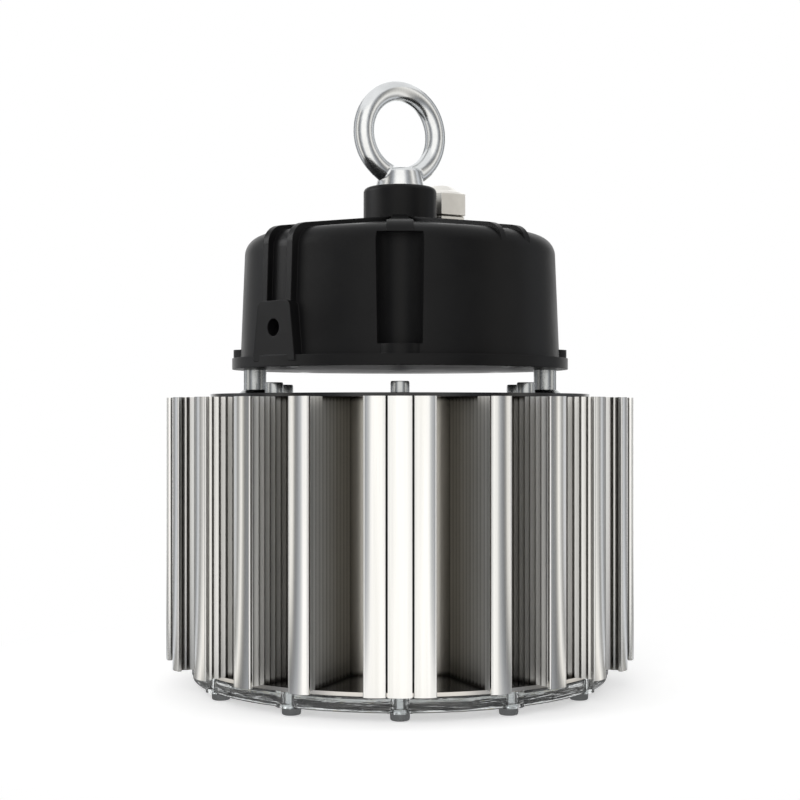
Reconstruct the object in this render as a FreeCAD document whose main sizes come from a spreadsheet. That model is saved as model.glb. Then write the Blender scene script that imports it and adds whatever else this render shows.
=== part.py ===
import FreeCAD, Part
import math
import os
import re

import Sketcher
from FreeCAD import Placement, Rotation, Vector

# High bay light: a driver in a die-cast housing hangs from an eye bolt and carries, on two bolts,
# a star-shaped heat sink with the LED board and its clear cover underneath.
# Z is up. The origin is on the axis, at the level of the cover screws' heads, the lowest faces.
# Angles are in degrees from +X; the front of the light faces -Y.

UP = Vector(0, 0, 1)
FRONT = -90

doc = FreeCAD.newDocument("HighBayLight")

# ---------------------------------------------------------------- driving sizes (mm, degrees)

SIZES = {
    # cover screws and clear cover
    "cover_screw_head": 5.0,
    "cover_screw_head_height": 6.0,
    "cover_screw_sink": 1.8,
    "cover_screw_shank": 3.0,
    "cover_screw_circle": 110.9,
    "cover_screw_count": 12,
    "cover_radius": 117.5,
    "cover_thickness": 8.5,
    "cover_edge_round": 1.6,
    "cover_boss_radius": 8.2,
    "window_thickness": 3.0,
    "window_radius": 96.5,
    "cover_seal_inner": 98.7,
    "cover_seal_width": 2.6,
    "cover_seal_height": 2.0,
    "hole_clearance": 0.3,
    # LED board and what clamps it
    "base_plate_radius": 118.0,
    "base_plate_thickness": 2.0,
    "thermal_pad_thickness": 0.5,
    "led_board_radius": 94.0,
    "led_board_thickness": 1.6,
    "chip_side": 3.5,
    "chip_height": 0.7,
    "chip_first_ring": 25.0,
    "chip_ring_pitch": 21.0,
    "board_screw_head": 3.8,
    "board_screw_head_height": 2.4,
    "board_screw_shank": 2.0,
    "board_screw_bite": 8.0,
    # heat sink extrusion
    "sink_length": 147.5,
    "sink_radius": 132.5,
    "core_radius": 69.0,
    "core_wall": 8.0,
    "fin_pitch": 15.0,
    "fin_thickness": 3.0,
    "rib_height": 1.1,
    "rib_count": 13,
    "rib_start": 73.5,
    "tip_width": 11.4,
    "tip_thickness": 3.4,
    "tip_crown": 0.9,
    "tip_round": 0.8,
    "spine_width": 12.0,
    "seam_gap": 0.7,
    "port_wall": 3.6,
    # top plate and its screws
    "top_plate_radius": 107.7,
    "top_plate_thickness": 2.0,
    "top_screw_circle": 79.5,
    "top_screw_head": 5.0,
    "top_screw_head_height": 6.2,
    "top_screw_shank": 3.0,
    "top_screw_bite": 14.0,
    "top_screw_count": 6,
    # hanger bolts, spacers and foot washers between heat sink and driver
    "hanger_circle": 83.0,
    "hanger_bolt_radius": 4.0,
    "hanger_head": 6.5,
    "hanger_head_height": 5.0,
    "hanger_bite": 8.0,
    "spacer_radius": 6.5,
    "spacer_length": 11.5,
    "washer_radius": 9.4,
    "washer_height": 2.6,
    # driver housing, heights from its underside
    "flange_radius": 95.6,
    "flange_thickness": 6.0,
    "wall_foot_radius": 90.8,
    "shoulder_radius": 88.1,
    "shoulder_height": 73.4,
    "shoulder_round": 11.0,
    "dome_height": 82.9,
    "crown_radius": 20.9,
    "crown_height": 104.0,
    "crown_round": 3.0,
    "housing_wall": 3.2,
    "dome_wall": 4.5,
    "foot_boss_radius": 12.3,
    "foot_boss_height": 11.2,
    "recess_circle": 92.0,
    "recess_foot_radius": 11.9,
    "recess_top_radius": 13.5,
    "recess_top_height": 69.5,
    "strap_offset": 9.7,
    "strap_width": 4.4,
    "strap_proud": 2.4,
    "strap_wall_proud": 3.4,
    "ear_face": 94.9,
    "ear_foot_half_width": 16.6,
    "ear_top_half_width": 12.8,
    "ear_height": 29.0,
    "ear_round": 4.0,
    "ear_hole_radius": 4.7,
    "ear_hole_height": 14.7,
    "ear_hole_depth": 13.0,
    "runner_inner_half_width": 4.1,
    "runner_outer_half_width": 7.4,
    "runner_proud": 1.6,
    "runner_rise": 4.4,
    "post_circle": 82.0,
    "post_radius": 7.5,
    "post_height": 32.0,
    # driver base plate, its seal and screws
    "driver_plate_radius": 92.0,
    "driver_plate_thickness": 2.5,
    "driver_seal_inner": 88.8,
    "driver_seal_width": 2.0,
    "driver_seal_height": 1.2,
    "plate_screw_head": 3.8,
    "plate_screw_shank": 2.0,
    "plate_screw_length": 12.0,
    # driver electronics
    "circuit_radius": 72.0,
    "circuit_thickness": 1.6,
    "standoff_circle": 62.0,
    "standoff_radius": 3.0,
    "standoff_length": 11.5,
    "circuit_screw_head": 2.8,
    "circuit_screw_head_height": 2.0,
    "circuit_screw_shank": 1.5,
    "circuit_screw_bite": 6.0,
    "core_side": 36.0,
    "core_height": 30.0,
    "core_depth": 16.0,
    "core_limb": 8.0,
    "winding_side": 26.0,
    "capacitor_radius": 9.0,
    "capacitor_height": 32.0,
    "capacitor_pitch": 20.0,
    "choke_ring": 11.0,
    "choke_wire": 4.5,
    "terminal_length": 24.0,
    "terminal_depth": 10.0,
    "terminal_height": 12.0,
    # eye bolt
    "eye_inner_radius": 18.5,
    "eye_rod_radius": 5.9,
    "eye_turn": 33.0,
    "eye_centre_height": 31.8,
    "collar_foot_radius": 13.5,
    "collar_neck_radius": 8.6,
    "collar_height": 11.5,
    "eye_thread_radius": 6.0,
    "eye_thread_length": 20.0,
    # cable gland, heights from the driver's underside
    "gland_x": 24.5,
    "gland_y": 40.0,
    "gland_seat_radius": 17.5,
    "gland_seat_height": 83.8,
    "gland_seat_depth": 12.8,
    "gland_washer_radius": 14.0,
    "gland_washer_thickness": 1.5,
    "gland_hex_radius": 15.6,
    "gland_hex_height": 6.0,
    "gland_thread_radius": 10.0,
    "gland_bore_radius": 7.0,
    "gland_neck_radius": 11.5,
    "gland_neck_height": 11.7,
    "gland_cap_gap": 1.9,
    "gland_cap_radius": 16.0,
    "gland_cap_hex_height": 12.6,
    "gland_cap_height": 18.6,
    "gland_cap_crown": 12.9,
    "gland_mouth_radius": 5.4,
    "gland_seal_radius": 9.4,
    "gland_seal_bore": 4.5,
    "gland_seal_length": 14.0,
    "locknut_height": 5.0,
    "fit_clearance": 0.1,
}

sizes = doc.addObject("Spreadsheet::Sheet", "Sizes")
for row, (name, number) in enumerate(SIZES.items(), start=1):
    sizes.set("A%d" % row, name)
    sizes.set("B%d" % row, repr(number))
    sizes.setAlias("B%d" % row, name)
doc.recompute()


def linked(expression):
    """The expression with each size name made a reference to the sheet."""
    return re.sub(r"[a-z]\w*", lambda m: "Sizes." + m[0] if m[0] in SIZES else m[0], expression)


def bind(item, target, expression):
    """Drive a property or a constraint of item by an expression in size names."""
    item.setExpression(target, linked(expression))


def value(expression):
    """The present value of an expression in size names."""
    return float(sizes.evalExpression(expression))


# ---------------------------------------------------------------- levels from bottom to top

COVER_BOTTOM = "(cover_screw_head_height - cover_screw_sink)"
BASE_BOTTOM = "(%s + cover_thickness)" % COVER_BOTTOM
PAD_BOTTOM = "(%s - thermal_pad_thickness)" % BASE_BOTTOM
BOARD_BOTTOM = "(%s - led_board_thickness)" % PAD_BOTTOM
SINK_BOTTOM = "(%s + base_plate_thickness)" % BASE_BOTTOM
SINK_TOP = "(%s + sink_length)" % SINK_BOTTOM
PLATE_TOP = "(%s + top_plate_thickness)" % SINK_TOP
SPACER_BOTTOM = "(%s + washer_height)" % PLATE_TOP
DRIVER_BOTTOM = "(%s + spacer_length)" % SPACER_BOTTOM
CIRCUIT_BOTTOM = "(%s + driver_plate_thickness + standoff_length)" % DRIVER_BOTTOM
CIRCUIT_TOP = "(%s + circuit_thickness)" % CIRCUIT_BOTTOM
CROWN_TOP = "(%s + crown_height)" % DRIVER_BOTTOM
GLAND_SEAT = "(%s + gland_seat_height)" % DRIVER_BOTTOM
GLAND_HEX_BOTTOM = "(%s + gland_washer_thickness)" % GLAND_SEAT
RUNNER_FOOT = "(shoulder_height - 2 * shoulder_round)"

FINS_PER_QUARTER = 4
CHIP_RINGS = 4
CHIPS_IN_FIRST_RING = 12
CHIPS_ADDED_PER_RING = 8
EAR_ANGLES = (225, 45)
SHORT_STRAP_ANGLES = (315, 135)
CLEAR_SEAM = 22.5

# ---------------------------------------------------------------- sketch and feature helpers


def make_body(label, level="0"):
    """An empty body whose origin sits on the axis at the given level."""
    body = doc.addObject("PartDesign::Body", label)
    body.Label = label
    body.AllowCompound = True
    bind(body, "Placement.Base.z", level)
    return body


def origin_feature(body, role):
    return [feature for feature in body.Origin.OriginFeatures if feature.Role == role][0]


def flat_sketch(body, level="0"):
    """A horizontal sketch at a level of the body."""
    sketch = body.newObject("Sketcher::SketchObject", body.Label + "_plan")
    sketch.AttachmentSupport = (origin_feature(body, "XY_Plane"), [""])
    sketch.MapMode = "FlatFace"
    bind(sketch, "AttachmentOffset.Base.z", level)
    return sketch


def upright_sketch(body, angle=0, offset="0"):
    """A vertical sketch whose x runs outwards at the angle; offset moves it to the right of that."""
    sketch = body.newObject("Sketcher::SketchObject", body.Label + "_section")
    sketch.AttachmentSupport = (origin_feature(body, "XZ_Plane"), [""])
    sketch.MapMode = "FlatFace"
    sketch.AttachmentOffset = Placement(Vector(), Rotation(Vector(0, 1, 0), angle))
    turned = math.radians(angle)
    bind(sketch, "AttachmentOffset.Base.x", "(%s) * %r" % (offset, math.sin(turned)))
    bind(sketch, "AttachmentOffset.Base.z", "(%s) * %r" % (offset, math.cos(turned)))
    return sketch


def fix_coordinate(sketch, kind, geometry, point, expression):
    """Hold one coordinate of a sketch point to an expression; nought lies on the axis itself."""
    number = value(expression)
    if abs(number) < 1e-9:
        axis = -2 if kind == "DistanceX" else -1
        sketch.addConstraint(Sketcher.Constraint("PointOnObject", geometry, point, axis))
        return
    index = sketch.addConstraint(Sketcher.Constraint(kind, -1, 1, geometry, point, number))
    name = "size_%d" % index
    sketch.renameConstraint(index, name)
    bind(sketch, "Constraints." + name, expression)


def fix_point(sketch, geometry, point, x, y):
    fix_coordinate(sketch, "DistanceX", geometry, point, x)
    fix_coordinate(sketch, "DistanceY", geometry, point, y)


def add_circle(sketch, x, y, radius):
    middle = Vector(value(x), value(y), 0)
    circle = sketch.addGeometry(Part.Circle(middle, UP, value(radius)), False)
    fix_point(sketch, circle, 3, x, y)
    index = sketch.addConstraint(Sketcher.Constraint("Radius", circle, value(radius)))
    name = "size_%d" % index
    sketch.renameConstraint(index, name)
    bind(sketch, "Constraints." + name, radius)


def add_outline(sketch, corners):
    """A closed outline of straight sides, every corner held to its two expressions."""
    spots = [Vector(value(x), value(y), 0) for x, y in corners]
    count = len(spots)
    sides = [
        sketch.addGeometry(Part.LineSegment(spots[i], spots[(i + 1) % count]), False)
        for i in range(count)
    ]
    for i, side in enumerate(sides):
        sketch.addConstraint(Sketcher.Constraint("Coincident", side, 2, sides[(i + 1) % count], 1))
        fix_point(sketch, side, 1, *corners[i])
    return sides


def polar(radius, angle):
    """The two coordinate expressions of a point at a radius and an angle in degrees."""
    across, along = (round(f(math.radians(angle)), 12) for f in (math.cos, math.sin))
    return "(%s) * %r" % (radius, across), "(%s) * %r" % (radius, along)


def pad(body, sketch, length, middle=False):
    feature = body.newObject("PartDesign::Pad", body.Label + "_pad")
    feature.Profile = sketch
    feature.Midplane = middle
    bind(feature, "Length", length)
    return feature


def pocket(body, sketch, depth, upwards=False):
    feature = body.newObject("PartDesign::Pocket", body.Label + "_pocket")
    feature.Profile = sketch
    feature.Reversed = upwards
    bind(feature, "Length", depth)
    return feature


def pattern(body, features, count):
    """Repeat features round the body's axis, evenly over the full turn."""
    feature = body.newObject("PartDesign::PolarPattern", body.Label + "_pattern")
    feature.Originals = features
    feature.Axis = (origin_feature(body, "Z_Axis"), [""])
    feature.Angle = 360
    bind(feature, "Occurrences", str(count))
    body.Tip = feature
    return feature


def round_edges(body, chosen, radius):
    """Fillet the edges of the body's last feature that the test picks."""
    doc.recompute()
    base = body.Tip
    names = ["Edge%d" % (i + 1) for i, edge in enumerate(base.Shape.Edges) if chosen(edge)]
    feature = body.newObject("PartDesign::Fillet", body.Label + "_round")
    feature.Base = (base, names)
    bind(feature, "Radius", radius)
    body.Tip = feature
    return feature


def ring_edge(radius, level):
    """A test for round edges about the axis at a radius and a level of the body."""
    def chosen(edge):
        curve = edge.Curve
        return (
            isinstance(curve, Part.Circle)
            and abs(curve.Radius - value(radius)) < 1e-4
            and abs(curve.Center.z - value(level)) < 1e-4
            and abs(curve.Center.x) + abs(curve.Center.y) < 1e-4
        )
    return chosen


def disc(label, radius, thickness, level):
    body = make_body(label, level)
    sketch = flat_sketch(body)
    add_circle(sketch, "0", "0", radius)
    pad(body, sketch, thickness)
    return body


def ring(label, inner, width, height, level):
    body = make_body(label, level)
    sketch = flat_sketch(body)
    add_circle(sketch, "0", "0", inner)
    add_circle(sketch, "0", "0", "%s + %s" % (inner, width))
    pad(body, sketch, height)
    return body


def drill(body, hole_radius, circle, angle, count, top, depth):
    """A circle of holes, cut downwards from a level of the body."""
    sketch = flat_sketch(body, top)
    add_circle(sketch, *polar(circle, angle), hole_radius)
    hole = pocket(body, sketch, depth)
    doc.recompute()
    pattern(body, [hole], count)


def turned(label, corners, level="0", seam=0):
    """A body turned about the light's axis from a half section that stands at the seam's angle."""
    body = make_body(label, level)
    sketch = upright_sketch(body, seam)
    add_outline(sketch, corners)
    feature = body.newObject("PartDesign::Revolution", label + "_turn")
    feature.Profile = sketch
    feature.ReferenceAxis = (sketch, ["V_Axis"])
    feature.Angle = 360
    return body


def turned_set(label, corners, circle, angle, count, level="0"):
    """Like pieces on a circle, each turned about its own upright axis from a half section."""
    body = make_body(label, level)
    sketch = upright_sketch(body, angle)
    add_outline(sketch, [("(%s) + (%s)" % (circle, x), y) for x, y in corners])
    heights = [value(y) for _, y in corners]
    foot = Vector(value(circle), min(heights), 0)
    head = Vector(value(circle), max(heights), 0)
    axis = sketch.addGeometry(Part.LineSegment(foot, head), True)
    fix_coordinate(sketch, "DistanceX", axis, 1, circle)
    sketch.addConstraint(Sketcher.Constraint("Vertical", axis))
    feature = body.newObject("PartDesign::Revolution", label + "_turn")
    feature.Profile = sketch
    feature.ReferenceAxis = (sketch, ["Axis0"])
    feature.Angle = 360
    doc.recompute()
    pattern(body, [feature], count)
    return body


def primitive(kind, label, place=None, **bound):
    """A Part primitive with its sizes bound by keyword and its Placement held by expressions."""
    item = doc.addObject("Part::" + kind, label)
    for name, expression in bound.items():
        bind(item, name, expression)
    if place:
        for axis, expression in zip("xyz", place):
            bind(item, "Placement.Base." + axis, expression)
    return item


def fuse(label, pieces):
    item = doc.addObject("Part::MultiFuse", label)
    item.Shapes = pieces
    item.Refine = True
    return item


def cut(label, base, tool):
    item = doc.addObject("Part::Cut", label)
    item.Base = base
    item.Tool = tool
    item.Refine = True
    return item


def common(label, first, second):
    item = doc.addObject("Part::MultiCommon", label)
    item.Shapes = [first, second]
    return item


# ---------------------------------------------------------------- clear cover and its screws


def lens_cover():
    """A clear dish: a thin window, a thick rim and a round boss at every screw."""
    body = turned("lens_cover", [
        ("0", "0"),
        ("cover_radius", "0"),
        ("cover_radius", "cover_thickness"),
        ("cover_seal_inner + cover_seal_width", "cover_thickness"),
        ("cover_seal_inner + cover_seal_width", "cover_thickness - cover_seal_height"),
        ("cover_seal_inner", "cover_thickness - cover_seal_height"),
        ("cover_seal_inner", "cover_thickness"),
        ("window_radius", "cover_thickness"),
        ("window_radius", "window_thickness"),
        ("0", "window_thickness"),
    ], COVER_BOTTOM)
    for level in ("0", "cover_thickness"):
        round_edges(body, ring_edge("cover_radius", level), "cover_edge_round")
    sketch = flat_sketch(body)
    reach = "cover_screw_circle"
    add_circle(sketch, *polar(reach, FRONT), "cover_boss_radius")
    boss = pad(body, sketch, "cover_thickness")
    doc.recompute()
    pattern(body, [boss], "cover_screw_count")
    drill(body, "cover_screw_shank + hole_clearance", reach, FRONT, "cover_screw_count",
          "cover_thickness", "cover_thickness")
    drill(body, "cover_screw_head + hole_clearance", reach, FRONT, "cover_screw_count",
          "cover_screw_sink", "cover_screw_sink")
    return body


def cover_screws():
    head_top = "cover_screw_head_height"
    tip = "%s + base_plate_thickness" % BASE_BOTTOM
    return turned_set("cover_screws", [
        ("0", "0"),
        ("cover_screw_head - hole_clearance", "0"),
        ("cover_screw_head", "hole_clearance"),
        ("cover_screw_head", head_top),
        ("cover_screw_shank", head_top),
        ("cover_screw_shank", tip),
        ("0", tip),
    ], "cover_screw_circle", FRONT, "cover_screw_count")


def cover_seal():
    return ring("cover_seal", "cover_seal_inner", "cover_seal_width", "cover_seal_height",
                "%s - cover_seal_height" % BASE_BOTTOM)


# ---------------------------------------------------------------- base plate and LED board


def base_plate():
    body = disc("base_plate", "base_plate_radius", "base_plate_thickness", BASE_BOTTOM)
    deep = "base_plate_thickness"
    drill(body, "cover_screw_shank", "cover_screw_circle", FRONT, "cover_screw_count", deep, deep)
    drill(body, "board_screw_shank", "top_screw_circle", FRONT, "top_screw_count", deep, deep)
    return body


def thermal_pad():
    deep = "thermal_pad_thickness"
    body = disc("thermal_pad", "led_board_radius", deep, PAD_BOTTOM)
    drill(body, "board_screw_shank", "top_screw_circle", FRONT, "top_screw_count", deep, deep)
    return body


def led_board():
    deep = "led_board_thickness"
    body = disc("led_board", "led_board_radius", deep, BOARD_BOTTOM)
    drill(body, "board_screw_shank", "top_screw_circle", FRONT, "top_screw_count", deep, deep)
    return body


def led_chips():
    """Rings of square chips on the underside of the board."""
    body = make_body("led_chips", "%s - chip_height" % BOARD_BOTTOM)
    for ring_number in range(CHIP_RINGS):
        reach = "chip_first_ring + chip_ring_pitch * %d" % ring_number
        sketch = flat_sketch(body)
        near, far = "%s - chip_side / 2" % reach, "%s + chip_side / 2" % reach
        add_outline(sketch, [
            (near, "-chip_side / 2"),
            (far, "-chip_side / 2"),
            (far, "chip_side / 2"),
            (near, "chip_side / 2"),
        ])
        chip = pad(body, sketch, "chip_height")
        doc.recompute()
        pattern(body, [chip], CHIPS_IN_FIRST_RING + CHIPS_ADDED_PER_RING * ring_number)
        doc.recompute()
    return body


def board_screws():
    head_top = "board_screw_head_height"
    through = "led_board_thickness + thermal_pad_thickness + base_plate_thickness"
    tip = "%s + %s + board_screw_bite" % (head_top, through)
    return turned_set("board_screws", [
        ("0", "0"),
        ("board_screw_head", "0"),
        ("board_screw_head", head_top),
        ("board_screw_shank", head_top),
        ("board_screw_shank", tip),
        ("0", tip),
    ], "top_screw_circle", FRONT, "top_screw_count", "%s - board_screw_head_height" % BOARD_BOTTOM)


# ---------------------------------------------------------------- heat sink extrusion


def turn_point(along, across, angle):
    """A point given along and across a radial direction, as a vector in the plan."""
    cosine, sine = math.cos(angle), math.sin(angle)
    return Vector(along * cosine - across * sine, along * sine + across * cosine, 0)


def rib_pitch():
    return value("(sink_radius - tip_thickness - rib_start - rib_height) / rib_count")


def flank(side, angle, start):
    """The corners up one side of a fin: a row of sharp ribs that ends under the tip."""
    half = value("fin_thickness / 2")
    pitch = rib_pitch()
    corners = [turn_point(start, side * half, angle)]
    for number in range(int(value("rib_count"))):
        foot = value("rib_start") + number * pitch
        if foot >= start - pitch / 4:
            corners.append(turn_point(foot + pitch / 2, side * (half + value("rib_height")), angle))
            corners.append(turn_point(foot + pitch, side * half, angle))
    corners.append(turn_point(value("sink_radius - tip_thickness"), side * half, angle))
    return corners


def tip_edges(angle, side):
    """A fin's tip from one side to the other: underside, rounded end, crowned face, and back."""
    half, bend = value("tip_width / 2"), value("tip_round")
    outer = value("sink_radius")
    under, brow = outer - value("tip_thickness"), outer - value("tip_crown")
    root = value("fin_thickness / 2")
    slant = bend * (1 - math.sqrt(0.5))

    def spot(along, across):
        return turn_point(along, side * across, angle)

    return [
        Part.LineSegment(spot(under, -root), spot(under, -half + bend)),
        Part.Arc(spot(under, -half + bend), spot(under + slant, -half + slant),
                 spot(under + bend, -half)),
        Part.LineSegment(spot(under + bend, -half), spot(brow - bend, -half)),
        Part.Arc(spot(brow - bend, -half), spot(brow - slant / 2, -half + slant),
                 spot(brow, -half + bend)),
        Part.Arc(spot(brow, -half + bend), spot(outer, 0), spot(brow, half - bend)),
        Part.Arc(spot(brow, half - bend), spot(brow - slant / 2, half - slant),
                 spot(brow - bend, half)),
        Part.LineSegment(spot(brow - bend, half), spot(under + bend, half)),
        Part.Arc(spot(under + bend, half), spot(under + slant, half - slant),
                 spot(under, half - bend)),
        Part.LineSegment(spot(under, half - bend), spot(under, root)),
    ]


def straight(corners):
    return [Part.LineSegment(first, last) for first, last in zip(corners, corners[1:])]


def valley(middle, port):
    """The root between two fins: where their flanks start, and the middle of the round.

    It is a hollow round, or a raised one that holds a screw port and takes the place of the
    first ribs.
    """
    start = value("rib_start")
    if not port:
        return start, turn_point(value("core_radius"), 0, middle)
    while start < value("top_screw_circle + top_screw_shank / 2"):
        start += rib_pitch()
    return start, turn_point(value("top_screw_circle + top_screw_shank + port_wall"), 0, middle)


def heat_sink():
    """One extrusion: a bored core, ribbed fins with crowned tips, and four solid spines.

    Each spine carries the screws of its quarter. A fin stands close on either side of it, with
    only a seam between their tips, and four more fins fill the quarter at an even pitch.
    """
    quarter = math.pi / 2
    half_spine = value("spine_width / 2")
    half_web = value("fin_thickness / 2")
    tip_level = value("sink_radius - tip_thickness / 2")
    pair = math.asin((half_spine + value("seam_gap + tip_width / 2")) / tip_level)
    pitch = math.radians(value("fin_pitch"))
    first_fin = quarter / 2 - pitch * (FINS_PER_QUARTER - 1) / 2
    wedge = (half_spine + value("seam_gap") + half_web * math.cos(pair)) / math.sin(pair)
    under = value("sink_radius - tip_thickness")
    ports = [math.radians(FRONT + 360 / value("top_screw_count") * n)
             for n in range(int(value("top_screw_count")))]

    fins = []
    for number in range(4):
        spine = number * quarter
        fins.append((spine + pair, "after"))
        fins += [(spine + first_fin + pitch * k, "plain") for k in range(FINS_PER_QUARTER)]
        fins.append((spine + quarter - pair, "before"))

    edges = []
    for index, (angle, kind) in enumerate(fins):
        following = fins[(index + 1) % len(fins)][0]
        spine = round(angle / quarter) * quarter
        edges += tip_edges(angle, 1)
        if kind == "before":
            # down the narrow wedge to the spine, round the spine's face, and up the next wedge
            wall = value("sink_radius - tip_crown")
            edges += straight([
                turn_point(under, half_web, angle),
                turn_point(wedge, half_web, angle),
                turn_point(wedge * math.cos(pair) - half_web, -half_spine, spine),
                turn_point(wall, -half_spine, spine),
            ])
            edges.append(Part.Arc(
                turn_point(wall, -half_spine, spine),
                turn_point(value("sink_radius"), 0, spine),
                turn_point(wall, half_spine, spine)))
            edges += straight([
                turn_point(wall, half_spine, spine),
                turn_point(wedge * math.cos(pair) - half_web, half_spine, spine),
                turn_point(wedge, -half_web, spine + pair),
                turn_point(under, -half_web, spine + pair),
            ])
            continue
        gap = following - angle
        middle = angle + gap / 2
        port = any(abs(math.remainder(middle - place, 2 * math.pi)) < pitch / 4 for place in ports)
        start, floor = valley(middle, port)
        down = list(reversed(flank(1, angle, start)))
        up = flank(-1, following, start)
        edges += straight(down)
        edges.append(Part.Arc(down[-1], floor, up[0]))
        edges += straight(up)

    outline = Part.Wire([edge.toShape() for edge in edges])
    shape = Part.Face(outline).extrude(UP * value("sink_length"))
    length = value("sink_length")
    bites = [Part.makeCylinder(value("core_radius - core_wall"), length)]
    for place in ports:
        spot = turn_point(value("top_screw_circle"), 0, place)
        deep = value("top_screw_bite + hanger_head_height")
        bites.append(Part.makeCylinder(value("top_screw_shank"), deep, spot + UP * (length - deep)))
        bites.append(Part.makeCylinder(value("board_screw_shank"), value("board_screw_bite + 2"), spot))
    for side in (1, -1):
        spot = Vector(side * value("hanger_circle"), 0, 0)
        deep = value("hanger_head_height + hole_clearance")
        wide = value("hanger_head + 3 * hole_clearance")
        bites.append(Part.makeCylinder(wide, deep, spot + UP * (length - deep)))
    feature = doc.addObject("Part::Feature", "heat_sink")
    feature.Shape = shape.cut(bites)
    bind(feature, "Placement.Base.z", SINK_BOTTOM)
    return feature


# ---------------------------------------------------------------- top plate and hanger set


def top_plate():
    deep = "top_plate_thickness"
    body = disc("top_plate", "top_plate_radius", deep, SINK_TOP)
    drill(body, "top_screw_shank + hole_clearance", "top_screw_circle", FRONT, "top_screw_count",
          deep, deep)
    drill(body, "hanger_bolt_radius + hole_clearance", "hanger_circle", 0, 2, deep, deep)
    return body


def top_plate_screws():
    tip = "-top_plate_thickness - top_screw_bite"
    return turned_set("top_plate_screws", [
        ("0", tip),
        ("top_screw_shank", tip),
        ("top_screw_shank", "0"),
        ("top_screw_head", "0"),
        ("top_screw_head", "top_screw_head_height - 2 * hole_clearance"),
        ("top_screw_head - 2 * hole_clearance", "top_screw_head_height"),
        ("0", "top_screw_head_height"),
    ], "top_screw_circle", FRONT, "top_screw_count", PLATE_TOP)


def hanger_bolts():
    """Bolts up through the top plate, foot washer and spacer into the driver's foot bosses."""
    through = "top_plate_thickness + washer_height + spacer_length + driver_plate_thickness"
    tip = "%s + hanger_bite" % through
    return turned_set("hanger_bolts", [
        ("0", "-hanger_head_height"),
        ("hanger_head", "-hanger_head_height"),
        ("hanger_head", "0"),
        ("hanger_bolt_radius", "0"),
        ("hanger_bolt_radius", tip),
        ("0", tip),
    ], "hanger_circle", 0, 2, SINK_TOP)


def hanger_washers():
    inner = "hanger_bolt_radius + hole_clearance"
    return turned_set("hanger_washers", [
        (inner, "0"),
        ("washer_radius", "0"),
        ("washer_radius", "washer_height / 5"),
        ("spacer_radius + hole_clearance", "washer_height"),
        (inner, "washer_height"),
    ], "hanger_circle", 0, 2, PLATE_TOP)


def hanger_spacers():
    inner = "hanger_bolt_radius + hole_clearance"
    return turned_set("hanger_spacers", [
        (inner, "0"),
        ("spacer_radius", "0"),
        ("spacer_radius", "spacer_length"),
        (inner, "spacer_length"),
    ], "hanger_circle", 0, 2, SPACER_BOTTOM)


# ---------------------------------------------------------------- driver housing


def housing_outside():
    body = turned("housing_outside", [
        ("0", "0"),
        ("flange_radius", "0"),
        ("flange_radius", "flange_thickness"),
        ("wall_foot_radius", "flange_thickness"),
        ("shoulder_radius", "shoulder_height"),
        ("crown_radius", "dome_height"),
        ("crown_radius", "crown_height"),
        ("0", "crown_height"),
    ], seam=CLEAR_SEAM)
    round_edges(body, ring_edge("shoulder_radius", "shoulder_height"), "shoulder_round")
    round_edges(body, ring_edge("crown_radius", "crown_height"), "crown_round")
    return body


def strap_profile(proud, foot):
    """The upright outline of a strap: outside line from the crown to its foot, inside line back."""
    deep = "housing_wall / 2"
    slope = "((dome_height - shoulder_height) / (shoulder_radius - crown_radius))"
    return [
        ("crown_radius - %s" % deep, "dome_height + %s" % proud),
        ("shoulder_radius + %s" % foot, "shoulder_height + %s - %s * %s" % (proud, slope, foot)),
        ("wall_foot_radius + %s" % foot, "flange_thickness / 2"),
        ("wall_foot_radius - %s" % deep, "flange_thickness / 2"),
        ("shoulder_radius - shoulder_round / 2 - %s" % deep, "shoulder_height - shoulder_round / 2"),
        ("crown_radius - %s" % deep, "dome_height - shoulder_round / 2"),
    ]


def strap(label, angle, offset, proud, foot):
    """A raised strap beside the radial line at the angle, rounded over the shoulder."""
    body = make_body(label)
    sketch = upright_sketch(body, angle, offset)
    add_outline(sketch, strap_profile(proud, foot))
    pad(body, sketch, "strap_width", middle=True)
    turn = math.radians(angle)

    def shoulder(edge):
        middle = edge.CenterOfMass
        reach = middle.x * math.cos(turn) + middle.y * math.sin(turn)
        upper = value("shoulder_height") - value("shoulder_round") / 4
        return reach > value("shoulder_radius - strap_width") and middle.z > upper

    round_edges(body, shoulder, "shoulder_round")
    return body


def ear(label, angle):
    """A flat fixing lug on the wall, standing on the flange."""
    body = make_body(label)
    sketch = flat_sketch(body, "flange_thickness / 2")
    near = "wall_foot_radius - housing_wall - 4 * hole_clearance"
    add_outline(sketch, [
        (near, "-ear_foot_half_width"),
        ("ear_face", "-ear_foot_half_width"),
        ("ear_face", "ear_foot_half_width"),
        (near, "ear_foot_half_width"),
    ])
    pad(body, sketch, "ear_height + flange_thickness / 2")
    side = body.newObject("Sketcher::SketchObject", label + "_taper")
    side.AttachmentSupport = (origin_feature(body, "YZ_Plane"), [""])
    side.MapMode = "FlatFace"
    bind(side, "AttachmentOffset.Base.z", "ear_face + housing_wall")
    top = "flange_thickness + ear_height + hole_clearance"
    for hand in ("", "-"):
        add_outline(side, [
            (hand + "ear_foot_half_width", "flange_thickness"),
            (hand + "(ear_foot_half_width + housing_wall)", "flange_thickness"),
            (hand + "(ear_foot_half_width + housing_wall)", top),
            (hand + "ear_top_half_width", top),
        ])
    pocket(body, side, "ear_face + housing_wall")

    def top_corner(edge):
        upper = value("flange_thickness + ear_height")
        middle = edge.CenterOfMass
        level = abs(middle.z - upper) < 1e-3
        return level and abs(middle.y) > value("ear_top_half_width") - 1

    round_edges(body, top_corner, "ear_round")
    body.Placement = Placement(Vector(), Rotation(UP, angle))
    return body


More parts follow.
